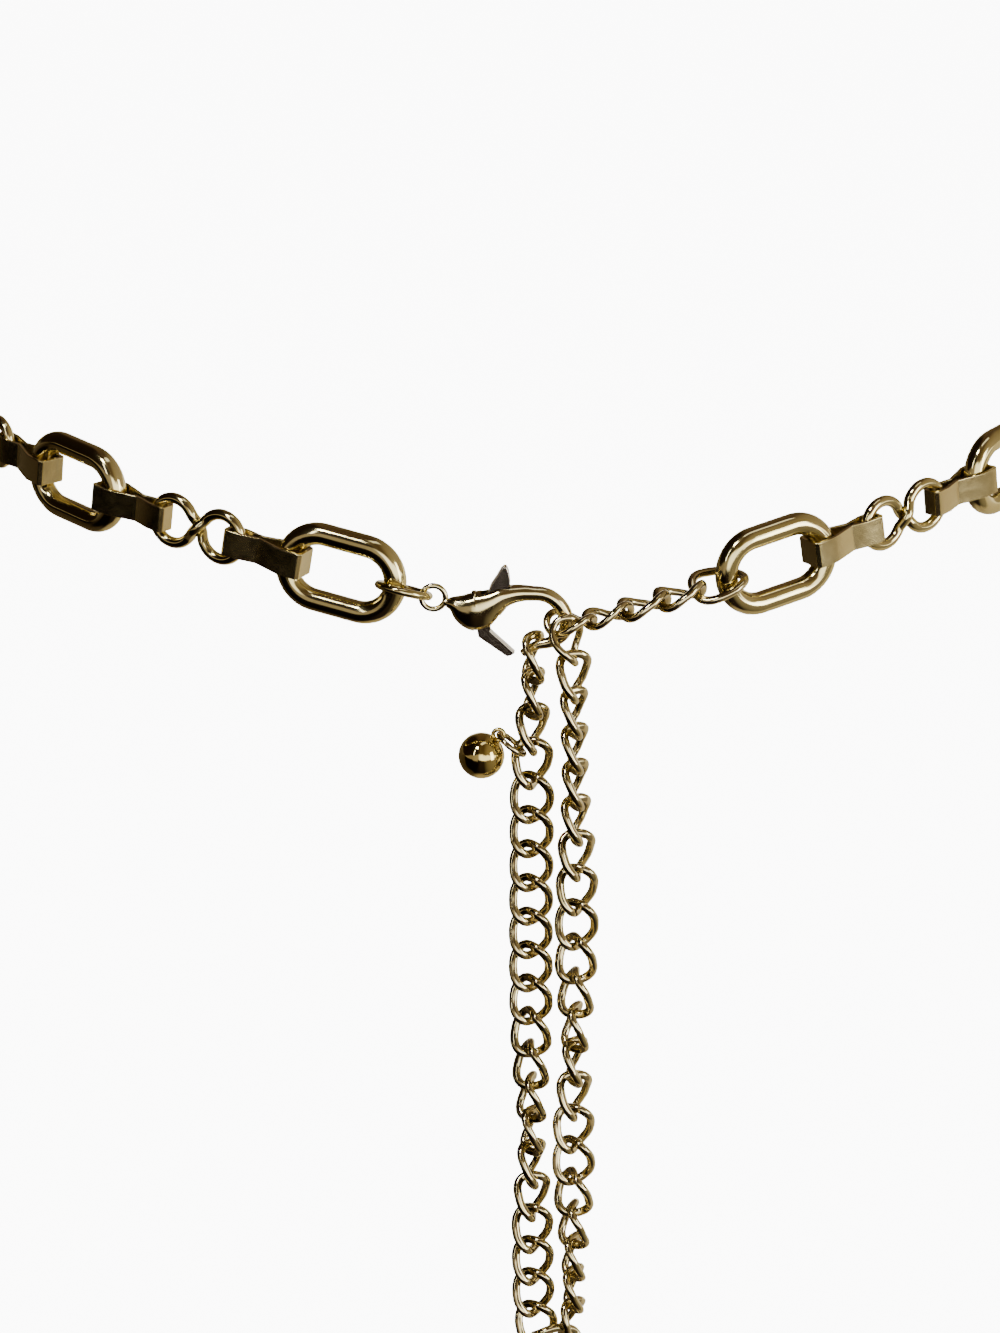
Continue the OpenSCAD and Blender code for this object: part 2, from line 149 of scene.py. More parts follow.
# Materials
def metal(name, colour, dark, rough, tint_scale, scratch, soft=0.12):
    """Polished metal: slow colour and gloss drift, fine brushed scratches, and a soft ripple."""
    m = bpy.data.materials.new(name)
    m.use_nodes = True
    nt = m.node_tree
    nodes, links = nt.nodes, nt.links
    bsdf = nodes["Principled BSDF"]
    bsdf.inputs["Metallic"].default_value = 1.0
    bsdf.inputs["Coat Weight"].default_value = 0.15
    bsdf.inputs["Coat Roughness"].default_value = 0.08
    coord = nodes.new("ShaderNodeTexCoord")
    info = nodes.new("ShaderNodeObjectInfo")
    shift = nodes.new("ShaderNodeVectorMath")
    shift.operation = "ADD"
    links.new(coord.outputs["Object"], shift.inputs[0])
    links.new(info.outputs["Random"], shift.inputs[1])
    slow = nodes.new("ShaderNodeTexNoise")
    slow.inputs["Scale"].default_value = tint_scale
    slow.inputs["Detail"].default_value = 5
    links.new(shift.outputs[0], slow.inputs["Vector"])
    tint = nodes.new("ShaderNodeValToRGB")
    tint.color_ramp.elements[0].position, tint.color_ramp.elements[1].position = 0.32, 0.68
    tint.color_ramp.elements[0].color = (*dark, 1)
    tint.color_ramp.elements[1].color = (*colour, 1)
    links.new(slow.outputs["Fac"], tint.inputs["Fac"])
    links.new(tint.outputs["Color"], bsdf.inputs["Base Color"])
    gloss = nodes.new("ShaderNodeMapRange")
    gloss.inputs["To Min"].default_value = rough * 0.65
    gloss.inputs["To Max"].default_value = rough * 1.5
    smear = nodes.new("ShaderNodeTexNoise")
    smear.inputs["Scale"].default_value = 900
    smear.inputs["Detail"].default_value = 6
    links.new(shift.outputs[0], smear.inputs["Vector"])
    links.new(smear.outputs["Fac"], gloss.inputs["Value"])
    links.new(gloss.outputs["Result"], bsdf.inputs["Roughness"])
    stretch = nodes.new("ShaderNodeMapping")
    stretch.inputs["Scale"].default_value = (350, 5200, 2600)
    links.new(shift.outputs[0], stretch.inputs["Vector"])
    fine = nodes.new("ShaderNodeTexNoise")
    fine.inputs["Scale"].default_value = 1
    fine.inputs["Detail"].default_value = 3
    links.new(stretch.outputs["Vector"], fine.inputs["Vector"])
    scratches = nodes.new("ShaderNodeBump")
    scratches.inputs["Strength"].default_value = scratch
    scratches.inputs["Distance"].default_value = 0.00002
    links.new(fine.outputs["Fac"], scratches.inputs["Height"])
    wave = nodes.new("ShaderNodeTexNoise")
    wave.inputs["Scale"].default_value = 420
    wave.inputs["Detail"].default_value = 1
    links.new(shift.outputs[0], wave.inputs["Vector"])
    ripple = nodes.new("ShaderNodeBump")
    ripple.inputs["Strength"].default_value = soft
    ripple.inputs["Distance"].default_value = 0.00025
    links.new(wave.outputs["Fac"], ripple.inputs["Height"])
    links.new(scratches.outputs["Normal"], ripple.inputs["Normal"])
    links.new(ripple.outputs["Normal"], bsdf.inputs["Normal"])
    return m


GOLD = metal("gold_wire", (0.74, 0.645, 0.33), (0.60, 0.51, 0.23), 0.10, 160, 0.15, 0.06)
BAND_GOLD = metal("gold_strip", (0.68, 0.58, 0.30), (0.56, 0.46, 0.22), 0.20, 160, 0.4)
# The curb gold is darker than the wire gold: painted shade, standing in for the darkness that the dense strand takes
# from its surroundings.
SHADE_DARKENED_GOLD = metal("gold_curb_shade_darkened", (0.64, 0.55, 0.31), (0.48, 0.40, 0.20), 0.08, 260, 0.08, 0.02)
CLASP_GOLD = metal("gold_cast", (0.78, 0.68, 0.38), (0.64, 0.54, 0.27), 0.11, 200, 0.12, 0.05)
BALL_GOLD = metal("gold_ball", (0.76, 0.62, 0.24), (0.66, 0.52, 0.18), 0.05, 200, 0.04, 0.02)
LEVER_STEEL = metal("lever_metal", (0.80, 0.75, 0.66), (0.66, 0.61, 0.52), 0.14, 240, 0.2, 0.05)


# Mesh building, in millimetres
class Shell:
    def __init__(self):
        self.verts, self.faces = [], []

    def add(self, verts, faces):
        base = len(self.verts)
        self.verts += [tuple(v) for v in verts]
        self.faces += [tuple(base + i for i in face) for face in faces]

    def piece(self, name, material, slot, body, nodes=(), matrix=None, smooth=True):
        mesh = bpy.data.meshes.new(name)
        mesh.from_pydata([tuple(c * MM for c in v) for v in self.verts], [], self.faces)
        clean_up(mesh)
        return place_mesh(name, mesh, material, body, nodes, matrix, smooth)


def clean_up(mesh):
    bm = bmesh.new()
    bm.from_mesh(mesh)
    bmesh.ops.recalc_face_normals(bm, faces=bm.faces)
    bm.to_mesh(mesh)
    bm.free()


def place_mesh(name, mesh, material, body, nodes=(), matrix=None, smooth=True):
    obj = bpy.data.objects.new(name, mesh)
    bpy.context.scene.collection.objects.link(obj)
    if not mesh.materials:
        mesh.materials.append(material)
    if smooth:
        mesh.polygons.foreach_set("use_smooth", [True] * len(mesh.polygons))
    if matrix is not None:
        obj.matrix_world = matrix
    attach(obj, body)
    if nodes:
        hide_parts(*nodes)
    return obj


def bevelled(obj, width, segments=2, angle=25):
    mod = obj.modifiers.new("edge", "BEVEL")
    mod.width = width * MM
    mod.segments = segments
    mod.limit_method = "ANGLE"
    mod.angle_limit = math.radians(angle)
    mod.harden_normals = True
    return obj


def ring_points(centre, side_a, side_b, radius, sides):
    angle = 2 * math.pi * np.arange(sides) / sides
    return centre + radius * (np.cos(angle)[:, None] * side_a + np.sin(angle)[:, None] * side_b)


def closed_tube(path, wire, sides, outward=None):
    """Round wire along a closed path; outward(i, ahead) gives the first side, or the path's own centre does."""
    count = len(path)
    verts, faces = [], []
    for i in range(count):
        ahead = unit(path[(i + 1) % count] - path[i - 1])
        out = outward(ahead) if outward else unit(path[i] - (path[i] @ ahead) * ahead)
        verts += list(ring_points(path[i], out, np.cross(ahead, out), wire / 2, sides))
        k = (i + 1) % count
        faces += [(i * sides + j, k * sides + j, k * sides + (j + 1) % sides, i * sides + (j + 1) % sides)
                  for j in range(sides)]
    return np.array(verts), faces


def across_plane(ahead):
    return unit(np.cross(ahead, [0, 1, 0]))


# Oval links
def oval_mesh():
    straight = OVAL_HALF - OVAL_BEND
    points = []
    for turn in (0, 180):
        for k in range(33):
            a = math.radians(turn - 90 + 180 * k / 32)
            shift = straight if turn == 0 else -straight
            points.append((shift + OVAL_BEND * math.cos(a), 0, OVAL_BEND * math.sin(a)))
        start = points[-1]
        for k in range(1, 6):
            points.append((start[0] + (-2 if turn == 0 else 2) * straight * k / 6, 0, start[2]))
    shell = Shell()
    shell.add(*closed_tube(np.array(points), OVAL_WIRE, 28, across_plane))
    mesh = bpy.data.meshes.new("oval_wire")
    mesh.from_pydata([tuple(c * MM for c in v) for v in shell.verts], [], shell.faces)
    clean_up(mesh)
    return mesh


def eight_mesh():
    reach = EIGHT_HALF - EIGHT_BEND
    lean = math.asin(EIGHT_BEND / reach)
    joint = np.array([reach - EIGHT_BEND * math.sin(lean), EIGHT_BEND * math.cos(lean)])
    open_angle = math.pi / 2 + lean
    points = []
    for flip, layer in ((1, 0.46), (-1, -0.46)):
        for k in range(41):
            a = open_angle - 2 * open_angle * k / 40
            points.append((flip * (reach + EIGHT_BEND * math.cos(a)), 0, EIGHT_BEND * math.sin(a)))
        start, end = np.array([flip * joint[0], -joint[1]]), np.array([-flip * joint[0], joint[1]])
        for k in range(1, 20):
            x, z = start + (end - start) * k / 20
            points.append((x, layer * EIGHT_WIRE * math.sin(math.pi * k / 20) ** 2 * 1.02, z))
    shell = Shell()
    shell.add(*closed_tube(np.array(points), EIGHT_WIRE, 18, across_plane))
    mesh = bpy.data.meshes.new("eight_wire")
    mesh.from_pydata([tuple(c * MM for c in v) for v in shell.verts], [], shell.faces)
    clean_up(mesh)
    return mesh


def wire_links():
    oval, eight = oval_mesh(), eight_mesh()
    for number in range(1, PAIRS + 2):
        middle = RUN_RIGHT + 2 * (number - 1) * HALF_PITCH
        place_mesh(f"oval_wire_{number:02d}", oval, GOLD, "chain", [f"oval_link_{number:02d}"],
                   along(middle - OVAL_HALF, middle + OVAL_HALF))
    for number in range(1, PAIRS + 1):
        middle = RUN_RIGHT + (2 * number - 1) * HALF_PITCH
        place_mesh(f"eight_wire_{number:02d}", eight, GOLD, "chain", [f"eight_link_{number:02d}"],
                   along(middle - EIGHT_HALF, middle + EIGHT_HALF))


# Folded bands
def band_half(skin):
    oval_y, eight_y = OVAL_WIRE / 2 + BAND_PLAY + skin, EIGHT_WIRE / 2 + BAND_PLAY + skin
    oval_x, eight_x = -BAND_SPAN / 2 - OVAL_REACH - skin, BAND_SPAN / 2 + EIGHT_REACH + skin
    corner = BAND_CORNER * (1 if skin > 0 else 0.6)
    return [(oval_x, oval_y - corner), (oval_x + corner, oval_y), (-BAND_SPAN / 2 + 0.1 * OVAL_WIRE, oval_y),
            (0.1 * BAND_SPAN, BAND_GAP / 2 + skin), (BAND_SPAN / 2 - 0.1 * EIGHT_WIRE, eight_y),
            (eight_x - corner, eight_y), (eight_x, eight_y - corner)]


def band_mesh():
    outer, inner = [h + [(x, -y) for x, y in reversed(h)] for h in (band_half(BAND_SHEET), band_half(0))]
    count, z = len(outer), BAND_H / 2
    verts = [(x, y, s) for s in (-z, z) for ring in (outer, inner) for x, y in ring]
    low_out, low_in, high_out, high_in = (k * count for k in range(4))
    faces = []
    for i in range(count):
        k = (i + 1) % count
        faces += [(low_out + i, low_out + k, high_out + k, high_out + i),
                  (low_in + k, low_in + i, high_in + i, high_in + k),
                  (high_out + i, high_out + k, high_in + k, high_in + i),
                  (low_out + k, low_out + i, low_in + i, low_in + k)]
    return verts, faces


def bands():
    verts, faces = band_mesh()
    for side, first in (("right", 1), ("left", PAIRS + 1)):
        shell = Shell()
        for number in range(first, first + PAIRS):
            back = number % 2 == 0
            start = RUN_RIGHT + (number - 1) * HALF_PITCH + (EIGHT_HALF if back else OVAL_HALF)
            place = along(start, start + BAND_SPAN)
            flip = -1 if back else 1
            moved = [place @ Vector((flip * x * MM, y * MM, z * MM)) / MM for x, y, z in verts]
            shell.add(moved, [tuple(reversed(f)) for f in faces] if back else faces)
        strips = shell.piece(f"band_strips_{side}", BAND_GOLD, "gold_metal", "chain", [f"bands_{side}"])
        bevelled(strips, BAND_BEVEL)


# Curb chain, its wire filed flat on the broad sides
def full(wave, power):
    return np.sign(wave) * np.abs(wave) ** power


def curb_link(shell, a, b, turn, length=CURB_LEN, width=CURB_W, end_turn=CURB_TURN, snug=False,
              steps=44, sides=16):
    """One twisted link; a snug one keeps the solids' round wire, where the links crowd at the hook."""
    section, grown, fullness, square = ((CURB_WIRE, CURB_WIRE), 0, 1, 1) if snug else (
        CURB_FILED, CURB_GROWN, CURB_FULLNESS, CURB_SQUARE)
    a, b = np.asarray(a, float), np.asarray(b, float)
    ahead = unit(b - a)
    flat = unit(np.cross([0, 1, 0], ahead))
    across = math.cos(math.radians(turn)) * flat + math.sin(math.radians(turn)) * np.cross(ahead, flat)
    axes = np.array([ahead, across, np.cross(ahead, across)])
    t = 2 * math.pi * np.arange(steps) / steps
    lean = np.radians(-end_turn * np.cos(t))
    r = (width + grown - section[0]) / 2 * full(np.sin(t), fullness)
    path = np.stack([(length - CURB_WIRE) / 2 * full(np.cos(t), fullness), r * np.cos(lean), r * np.sin(lean)], 1)
    angle = 2 * math.pi * np.arange(sides) / sides
    waves = (np.cos(angle), np.sin(angle))
    wide, thick = (size / 2 * full(wave, square) for size, wave in zip(section, waves))
    verts, faces = [], []
    for i in range(steps):
        on = unit(path[(i + 1) % steps] - path[i - 1])
        out = unit(path[i] - (path[i] @ on) * on)
        verts += list(path[i] + wide[:, None] * out + thick[:, None] * np.cross(on, out))
        k = (i + 1) % steps
        faces += [(i * sides + j, k * sides + j, k * sides + (j + 1) % sides, i * sides + (j + 1) % sides)
                  for j in range(sides)]
    shell.add((a + b) / 2 + np.array(verts) @ axes, faces)


HANG_MIDDLE, HANG_AHEAD = np.array([0.34, -1.44, -1.33]), unit([0.261, 0.014, -0.965])
HANG_JOINT = HANG_MIDDLE + HANG_AHEAD * PITCH / 2
ARM_MIDDLE = np.array([-3.8, 0, -3.9])
ARM_JOINT = ARM_MIDDLE - np.array([0, 0, PITCH / 2])
BOTTOM_BEND = np.array([-1, -0.6, HANG_JOINT[2] - (DOWN_LINKS - 1) * PITCH])
RIGHT_BEND = BOTTOM_BEND + np.array([0.556, 0.111, 0]) * PITCH
LEFT_BEND = BOTTOM_BEND + np.array([-0.556, -0.111, 0]) * PITCH
RIGHT_FOOT = RIGHT_BEND + unit([-0.198, -0.001, -0.98]) * PITCH
LEFT_FOOT = LEFT_BEND + unit([0.174, 0.033, -0.984]) * PITCH
BOTTOM_MIDDLE = BOTTOM_BEND + np.array([0.076, -0.044, -1.058]) * PITCH
BOTTOM_AHEAD, BOTTOM_TURN = unit([-0.97, 0.075, 0.232]), -13
DOWN_ROUTE = [(8, 1, -1.5), (32, 1.57, -1.2), (62, 1.35, -1.2)]
UP_ROUTE = [(14, -3.85, 0), (38, -3.97, 0), (60, -3.9, 0)]
DOWN_TURNS = [(0, 127), (0.05, 126), (0.1, 106), (0.2, 104), (0.25, 112), (0.4, 178), (0.58, 270), (0.73, 357),
              (0.88, 440), (1, 461)]
UP_TURNS = [(0, 548), (0.15, 560), (0.29, 630), (0.52, 720), (0.8, 720), (0.95, 805), (1, 810)]
HOOKED_TURN, SPARE_TURN, SPARE_STEP, END_ROLL = 95, 80, 3, 28


def looked_up(x, table):
    return float(np.interp(x, [row[0] for row in table], [row[1] for row in table]))


def strand_joints(start, end, upper, lower, count, route):
    rows = [(-upper[2], upper[0], upper[1])] + [r for r in route if -upper[2] < r[0] < -lower[2]]
    rows.append((-lower[2], lower[0], lower[1]))
    depths = [-(start[2] + (end[2] - start[2]) * k / count) for k in range(count + 1)]
    return [np.array([np.interp(d, [r[0] for r in rows], [r[i] for r in rows]) for i in (1, 2)] + [-d])
            for d in depths]


UP_LINKS = math.ceil((ARM_JOINT[2] - LEFT_BEND[2]) / PITCH)
DOWN_JOINTS = strand_joints(HANG_JOINT, RIGHT_BEND, HANG_JOINT, RIGHT_BEND, DOWN_LINKS - 1, DOWN_ROUTE) + [RIGHT_FOOT]
UP_JOINTS = [LEFT_FOOT] + strand_joints(LEFT_BEND, ARM_JOINT, ARM_JOINT, LEFT_BEND, UP_LINKS, UP_ROUTE)


def curb_chain():
    half = PITCH / 2
    right = Shell()
    for k in range(1, SPARE_LINKS):
        middle = SEAT_TO_LINK + (k - 1) * PITCH + (0 if k == 1 else HOOKED_PLAY)
        turn = HOOKED_TURN if k == 1 else SPARE_TURN + SPARE_STEP * (k - 2)
        curb_link(right, spot(middle - half), spot(middle + half), turn, snug=k <= 2)
    curb_link(right, spot(RUN_END_LINK - half), spot(RUN_END_LINK + half),
              SPARE_TURN + SPARE_STEP * (SPARE_LINKS - 3) + END_ROLL, END_LEN, END_W, END_TURN)
    curb_link(right, HOOK + HANG_MIDDLE - HANG_AHEAD * half, HOOK + HANG_JOINT, DOWN_TURNS[0][1], snug=True)
    for k in range(1, DOWN_LINKS + 1):
        curb_link(right, HOOK + DOWN_JOINTS[k - 1], HOOK + DOWN_JOINTS[k], looked_up(k / DOWN_LINKS, DOWN_TURNS))
    right.piece("curb_links_right", SHADE_DARKENED_GOLD, "gold_metal", "chain", ["extension_right"])
    left, count = Shell(), UP_LINKS + 1
    curb_link(left, HOOK + BOTTOM_MIDDLE - BOTTOM_AHEAD * half, HOOK + BOTTOM_MIDDLE + BOTTOM_AHEAD * half,
              BOTTOM_TURN)
    for k in range(1, count + 1):
        curb_link(left, HOOK + UP_JOINTS[k - 1], HOOK + UP_JOINTS[k], looked_up((k - 1) / count, UP_TURNS))
    curb_link(left, HOOK + ARM_JOINT, HOOK + ARM_MIDDLE + np.array([0, 0, half]), UP_TURNS[-1][1])
    left.piece("curb_links_left", SHADE_DARKENED_GOLD, "gold_metal", "chain", ["extension_left"])


# Rings and ball
def torus(centre, axis, bend, wire, steps=64, sides=18):
    axis = unit(axis)
    a = unit(np.cross(axis, [0.3, 0.9, 0.1]))
    b = np.cross(axis, a)
    angle = 2 * math.pi * np.arange(steps) / steps
    path = bend * (np.cos(angle)[:, None] * a + np.sin(angle)[:, None] * b)
    verts, faces = closed_tube(path, wire, sides)
    return verts + centre, faces


def sphere(centre, radius, axis, rings=28, sides=48):
    axis = unit(axis)
    a = unit(np.cross(axis, [0.3, 0.9, 0.1]))
    b = np.cross(axis, a)
    verts = [centre + radius * axis]
    for i in range(1, rings):
        lift = math.pi * i / rings
        verts += list(ring_points(centre + radius * math.cos(lift) * axis, a, b, radius * math.sin(lift), sides))
    verts.append(centre - radius * axis)
    last = len(verts) - 1
    faces = [(0, 1 + j, 1 + (j + 1) % sides) for j in range(sides)]
    for i in range(rings - 2):
        base = 1 + i * sides
        faces += [(base + j, base + sides + j, base + sides + (j + 1) % sides, base + (j + 1) % sides)
                  for j in range(sides)]
    base = 1 + (rings - 2) * sides
    return verts, faces + [(last, base + (j + 1) % sides, base + j) for j in range(sides)]


RING_BEND, BALL_EYE_BEND = (BALL_RING_D - BALL_WIRE) / 2, (BALL_EYE_D - BALL_WIRE) / 2
RING_AXIS, RING_OUT = unit([0.622, 0.045, 0.782]), unit([-0.781, 0.098, 0.617])
RING_MIDDLE = UP_JOINTS[UP_LINKS - 1] + np.array([-0.468 * CURB_W, 0, 0.2])
BALL_EYE_MIDDLE = RING_MIDDLE + RING_OUT * RING_BEND - RING_AXIS * (BALL_EYE_BEND - BALL_WIRE - 0.08)
BALL_MIDDLE = BALL_EYE_MIDDLE - RING_AXIS * (BALL_D / 2 + BALL_EYE_BEND - 0.12)


def rings_and_ball():
    ring = Shell()
    ring.add(*torus(HOOK + RING_MIDDLE, RING_AXIS, RING_BEND, BALL_WIRE * BALL_RING_THICKER))
    ring.piece("ball_carrier", SHADE_DARKENED_GOLD, "gold_metal", "chain", ["ball_ring"])
    ball = Shell()
    ball.add(*sphere(HOOK + BALL_MIDDLE, BALL_D / 2, RING_AXIS))
    ball.add(*torus(HOOK + BALL_EYE_MIDDLE, np.cross(RING_AXIS, RING_OUT), BALL_EYE_BEND, BALL_WIRE, 40, 14))
    ball.piece("ball_drop", BALL_GOLD, "gold_metal", "chain", ["end_ball"])
    start = -HOOK_TO_EYE - EYE_TO_JUMP - JUMP_TO_OVAL
    jump = Shell()
    jump.add(*torus(np.zeros(3), (0, 0, 1), JUMP_BEND, JUMP_WIRE, 72, 20))
    turned = along(start, start + 2 * JUMP_TO_OVAL) @ Matrix.Rotation(math.radians(JUMP_ROLL), 4, "X")
    jump.piece("jump_wire", GOLD, "gold_metal", "chain", ["jump_ring"], turned)


# Clasp
CLASP_SECTIONS = np.array([
    (8.2, -0.9, 16, 21), (11.3, -1.4, 23, 36), (15.9, -1.5, 40, 61), (22.3, -2.8, 72, 85), (28.5, -3.4, 92, 97),
    (34.3, -2.5, 100, 100), (39.4, 1.9, 88, 97), (44.3, 7, 69, 91), (49.3, 11.8, 57, 82), (56.1, 15.3, 46, 70),
    (63.1, 17.8, 40, 61), (70.4, 19.2, 36, 54), (77.7, 20.3, 35, 53), (84.8, 19.2, 35, 53), (91.8, 15.2, 35, 53),
    (96.9, 9.6, 35, 53), (99.9, 3.1, 34, 52), (100.1, -4.1, 32, 49), (96.9, -10.4, 30, 46), (91.1, -14.9, 27, 43),
    (84.3, -18.1, 24, 39), (77.8, -22.8, 21, 35), (73.3, -27.8, 18, 30)], float)
LEVER_PIVOT = (39.1, 3.5)
LEVER_OUTLINE = [
    (39.2, 19.4), (41.6, 25.6), (43.8, 32.5), (45.4, 35.2), (47.5, 35.7), (49.9, 32.3), (51.8, 27.2), (53.2, 22.7),
    (47.4, 10.1), (46.1, 2.6), (45, -5.6), (46.4, -14.8), (68, -27.6), (65.6, -29.8), (62.93, -31.69),
    (38.7, -21.4), (35.2, -12.6), (32.4, -0.5), (34, 5), (38.4, 12)]
SLOT_OUTLINE = [
    (34.2, 28.3), (33.2, 9), (30.5, 2), (30.5, -1.9), (33.6, -13.2), (36.5, -28), (60, -28), (55.7, -10.7),
    (50, -0.6), (47.8, 3.8), (48.7, 10.1), (57.2, 28.3)]
SLOT_T = LEVER_T + 2 * LEVER_CLEAR


def spline(rows, steps):
    """Catmull-Rom rows between the given ones."""
    out = []
    for i in range(len(rows) - 1):
        p = [rows[max(i - 1, 0)], rows[i], rows[i + 1], rows[min(i + 2, len(rows) - 1)]]
        for k in range(steps):
            t = k / steps
            out.append(0.5 * (2 * p[1] + (p[2] - p[0]) * t + (2 * p[0] - 5 * p[1] + 4 * p[2] - p[3]) * t * t
                              + (3 * p[1] - p[0] - 3 * p[2] + p[3]) * t ** 3))
    return np.array(out + [rows[-1]])


def clasp_sweep(sides=36):
    size = HOOK_TO_EYE / 100
    rows = spline(CLASP_SECTIONS, 4)
    rows = np.stack([rows[:, 0] * size, rows[:, 1] * size, rows[:, 2] * CLASP_H / 200, rows[:, 3] * CLASP_T / 200], 1)
    verts, faces, last = [], [], len(rows) - 1
    for i in range(len(rows)):
        d = unit(rows[min(i + 1, last), :2] - rows[max(i - 1, 0), :2])
        for j in range(sides):
            a = 2 * math.pi * j / sides
            lift = rows[i, 2] * math.cos(a) * CLASP_SHRINK
            depth = rows[i, 3] * math.sin(a) * CLASP_SHRINK
            verts.append((rows[i, 0] - d[1] * lift, depth, rows[i, 1] + d[0] * lift))
    for i in range(last):
        faces += [(i * sides + j, i * sides + (j + 1) % sides, (i + 1) * sides + (j + 1) % sides, (i + 1) * sides + j)
                  for j in range(sides)]
    for end, sign in ((0, 1), (last, -1)):
        ring = [end * sides + j for j in range(sides)]
        faces.append(tuple(reversed(ring)) if sign > 0 else tuple(ring))
    return verts, faces


def prism(outline, thickness):
    """Outline in the plane of the hook, in percent of the clasp's length, given a thickness."""
    points = [(x * HOOK_TO_EYE / 100, z * HOOK_TO_EYE / 100) for x, z in outline]
    count = len(points)
    verts = [(x, y, z) for y in (-thickness / 2, thickness / 2) for x, z in points]
    faces = [tuple(range(count)), tuple(reversed(range(count, 2 * count)))]
    return verts, faces + [(i, i + count, (i + 1) % count + count, (i + 1) % count) for i in range(count)]


def boolean(obj, cutter, operation):
    mod = obj.modifiers.new("cut", "BOOLEAN")
    mod.operation, mod.object, mod.solver = operation, cutter, "EXACT"
    bpy.context.view_layer.update()
    result = bpy.data.meshes.new_from_object(obj.evaluated_get(bpy.context.evaluated_depsgraph_get()))
    obj.modifiers.clear()
    obj.data = result
    bpy.data.objects.remove(cutter)


def tidy_cuts(mesh):
    """Join the points that the cuts leave within two micrometres of each other."""
    bm = bmesh.new()
    bm.from_mesh(mesh)
    bmesh.ops.remove_doubles(bm, verts=bm.verts, dist=MERGE_DISTANCE)
    bmesh.ops.dissolve_degenerate(bm, edges=bm.edges, dist=SLIVER_DISTANCE)
    bm.to_mesh(mesh)
    bm.free()


def loose(name, verts, faces):
    mesh = bpy.data.meshes.new(name)
    mesh.from_pydata([tuple(c * MM for c in v) for v in verts], [], faces)
    clean_up(mesh)
    obj = bpy.data.objects.new(name, mesh)
    bpy.context.scene.collection.objects.link(obj)
    return obj


def clasp():
    place = along(-HOOK_TO_EYE, 0) @ Matrix.Translation((-HOOK_TO_EYE * MM / 2, 0, 0))
    body = loose("clasp_shell", *clasp_sweep())
    boolean(body, loose("slot", *prism(SLOT_OUTLINE, SLOT_T)), "DIFFERENCE")
    eye = loose("eye", *torus(np.zeros(3), (0, 1, 0), EYE_BEND, EYE_WIRE * EYE_THICKER, 56, 16))
    boolean(body, eye, "UNION")
    pivot = np.array([LEVER_PIVOT[0], 0, LEVER_PIVOT[1]]) * HOOK_TO_EYE / 100
    bore = loose("bore", *rod(pivot, PIN_D, SLOT_T + 2 * PIN_SEAT))
    boolean(body, bore, "DIFFERENCE")
    mesh = body.data
    tidy_cuts(mesh)
    bpy.data.objects.remove(body)
    place_mesh("clasp_shell", mesh, CLASP_GOLD, "chain", ["clasp_body"], place)
    mesh.set_sharp_from_angle(angle=math.radians(WIDE_TURN))
    lever = loose("lever_flat", *prism(LEVER_OUTLINE, LEVER_T))
    boolean(lever, loose("lever_bore", *rod(pivot, PIN_D + 2 * PIN_CLEAR, 2 * LEVER_T)), "DIFFERENCE")
    mesh = lever.data
    bpy.data.objects.remove(lever)
    plate = place_mesh("lever_plate", mesh, LEVER_STEEL, "lever", ["clasp_lever"], place, False)
    bevelled(plate, LEVER_BEVEL, 3, 30)


def rod(middle, diameter, length, sides=32):
    ends = [ring_points(middle + np.array([0, y, 0]), np.array([1, 0, 0]), np.array([0, 0, 1]), diameter / 2, sides)
            for y in (-length / 2, length / 2)]
    faces = [tuple(range(sides)), tuple(reversed(range(sides, 2 * sides)))]
    faces += [(j, j + sides, (j + 1) % sides + sides, (j + 1) % sides) for j in range(sides)]
    return np.concatenate(ends), faces


wire_links()
bands()
curb_chain()
rings_and_ball()
clasp()
pin = frame["nodes"]["clasp_pin"]
if not pin.material_slots:
    pin.data.materials.append(LEVER_STEEL)
for material_slot in pin.material_slots:
    material_slot.material = LEVER_STEEL


# Stage: pale floor, soft boxes and camera
# Share of the turn from behind and level (0), below (0.25), the front (0.5) and above (0.75) to behind (1)
BANDS_OF_LIGHT = [
    (0, (0.36, 0.33, 0.28)), (0.05, (0.22, 0.19, 0.14)), (0.24, (0.16, 0.13, 0.09)),
    (0.27, (0.006, 0.004, 0.003)), (0.465, (0.012, 0.008, 0.006)), (0.485, (1.1, 1.07, 1.0)),
    (0.545, (1.1, 1.07, 1.0)), (0.57, (0.050, 0.034, 0.016)), (0.75, (0.030, 0.018, 0.010)),
    (0.95, (0.050, 0.034, 0.022)), (0.975, (0.42, 0.39, 0.34)), (1, (0.36, 0.33, 0.28))]
# From the left to the right
SIDES_OF_LIGHT = [(0.08, (0.10, 0.085, 0.07)), (0.34, (0.16, 0.14, 0.12)), (0.46, (1.0, 1.0, 1.0))]
PALE_WALL = [(0.60, (0.0, 0.0, 0.0)), (0.74, (0.065, 0.056, 0.036)), (0.97, (0.115, 0.10, 0.072))]


def floor():
    mesh = bpy.data.meshes.new("floor")
    mesh.from_pydata([(-6, -6, -0.28), (6, -6, -0.28), (6, 6, -0.28), (-6, 6, -0.28)], [], [(0, 1, 2, 3)])
    obj = bpy.data.objects.new("floor", mesh)
    bpy.context.scene.collection.objects.link(obj)
    m = bpy.data.materials.new("pale_floor")
    m.use_nodes = True
    m.node_tree.nodes["Principled BSDF"].inputs["Base Color"].default_value = (0.93, 0.93, 0.93, 1)
    m.node_tree.nodes["Principled BSDF"].inputs["Roughness"].default_value = 0.9
    mesh.materials.append(m)
    obj.visible_glossy = False


